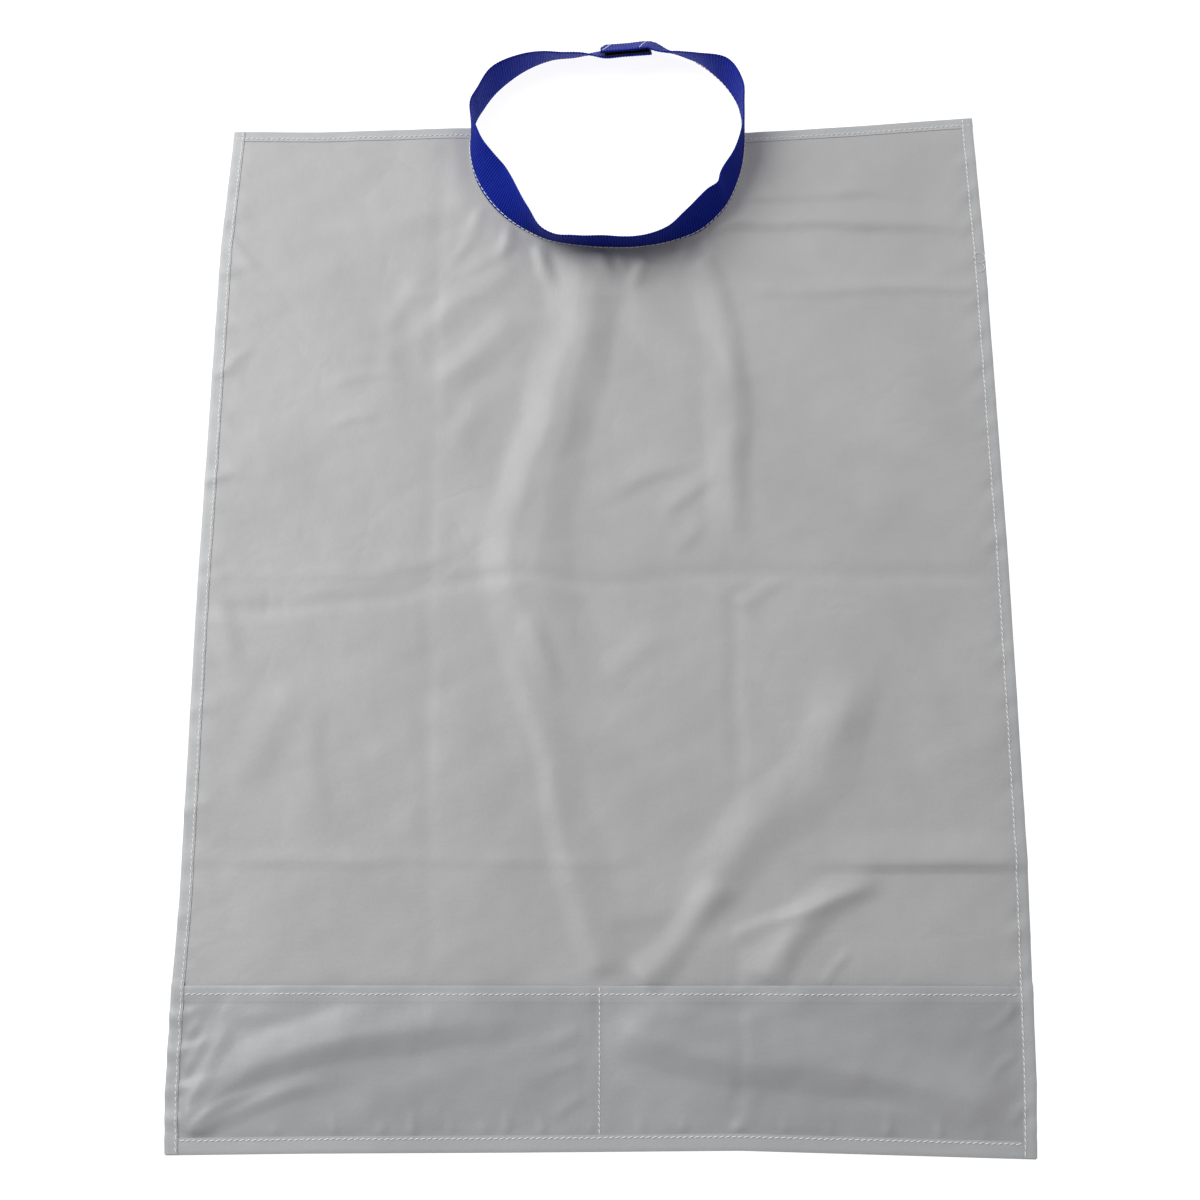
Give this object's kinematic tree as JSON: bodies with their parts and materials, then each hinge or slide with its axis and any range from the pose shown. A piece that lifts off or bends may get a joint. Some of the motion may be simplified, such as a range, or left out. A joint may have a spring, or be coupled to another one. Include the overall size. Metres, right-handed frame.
{
  "type": "patient bib apron",
  "caption": "Hemmed rectangular film apron lying flat, with a U neckline, a webbing neck band closed at the back by hook and loop, and a divided catch pocket along the bottom.",
  "frame": {"origin": "middle of the sheet's 450 by 600 mm outline, on its flat back face", "axes": "+Y runs up the sheet to the neck band, +Z out of the front face, +X to the right as seen from the front with the neck band at the top"},
  "size_m": [0.45, 0.6568, 0.0251],
  "materials": {
    "film": "frosted translucent film, semi-matt, very fine embossed weave",
    "pocket_film": "the same film in two layers, a little lighter",
    "webbing": "royal blue ribbed polyester webbing, slight sheen",
    "thread": "white polyester sewing thread",
    "hook": "black nylon hooks",
    "loop": "black brushed nylon loops"
  },
  "bodies": {
    "bib": {"bib_upper": "film", "neck_tape": "webbing", "top_hem_thread_left": "thread", "top_hem_thread_right": "thread", "left_hem_thread_upper": "thread", "right_hem_thread_upper": "thread", "neckline_thread": "thread"},
    "lower_flap": {"bib_lower": "film", "pocket_panel": "pocket_film", "left_hem_thread_lower": "thread", "right_hem_thread_lower": "thread", "pocket_mouth_thread": "thread", "pocket_divider_thread": "thread", "pocket_bottom_thread": "thread"},
    "left_strap": {"left_strap": "webbing", "loop_patch": "loop", "loop_patch_thread": "thread"},
    "right_strap": {"right_strap": "webbing"},
    "fastening_tab": {"fastening_tab": "webbing", "hook_patch": "hook", "hook_patch_thread": "thread"}
  },
  "joints": [
    {"name": "lower_fold", "type": "hinge", "parent": "bib", "child": "lower_flap", "pos_m": [0, -0.147, 0.0015], "axis": [-1, 0, 0], "range_deg": [0, 160]},
    {"name": "right_strap_swing", "type": "hinge", "parent": "bib", "child": "right_strap", "pos_m": [0.0871, 0.301, 0.0125], "axis": [0, 0, -1], "range_deg": [0, 80]},
    {"name": "left_strap_swing", "type": "hinge", "parent": "bib", "child": "left_strap", "pos_m": [-0.0776, 0.301, 0.0125], "axis": [0, 0, 1], "range_deg": [0, 32]},
    {"name": "tab_peel", "type": "hinge", "parent": "right_strap", "child": "fastening_tab", "pos_m": [0.03147, 0.35651, 0.00321], "axis": [-0.0401, 0.6679, -0.7431], "range_deg": [0, 100]}
  ],
  "couplings": [
    {"joint": "left_strap_swing", "follows": "right_strap_swing", "ratio": 0.4}
  ]
}
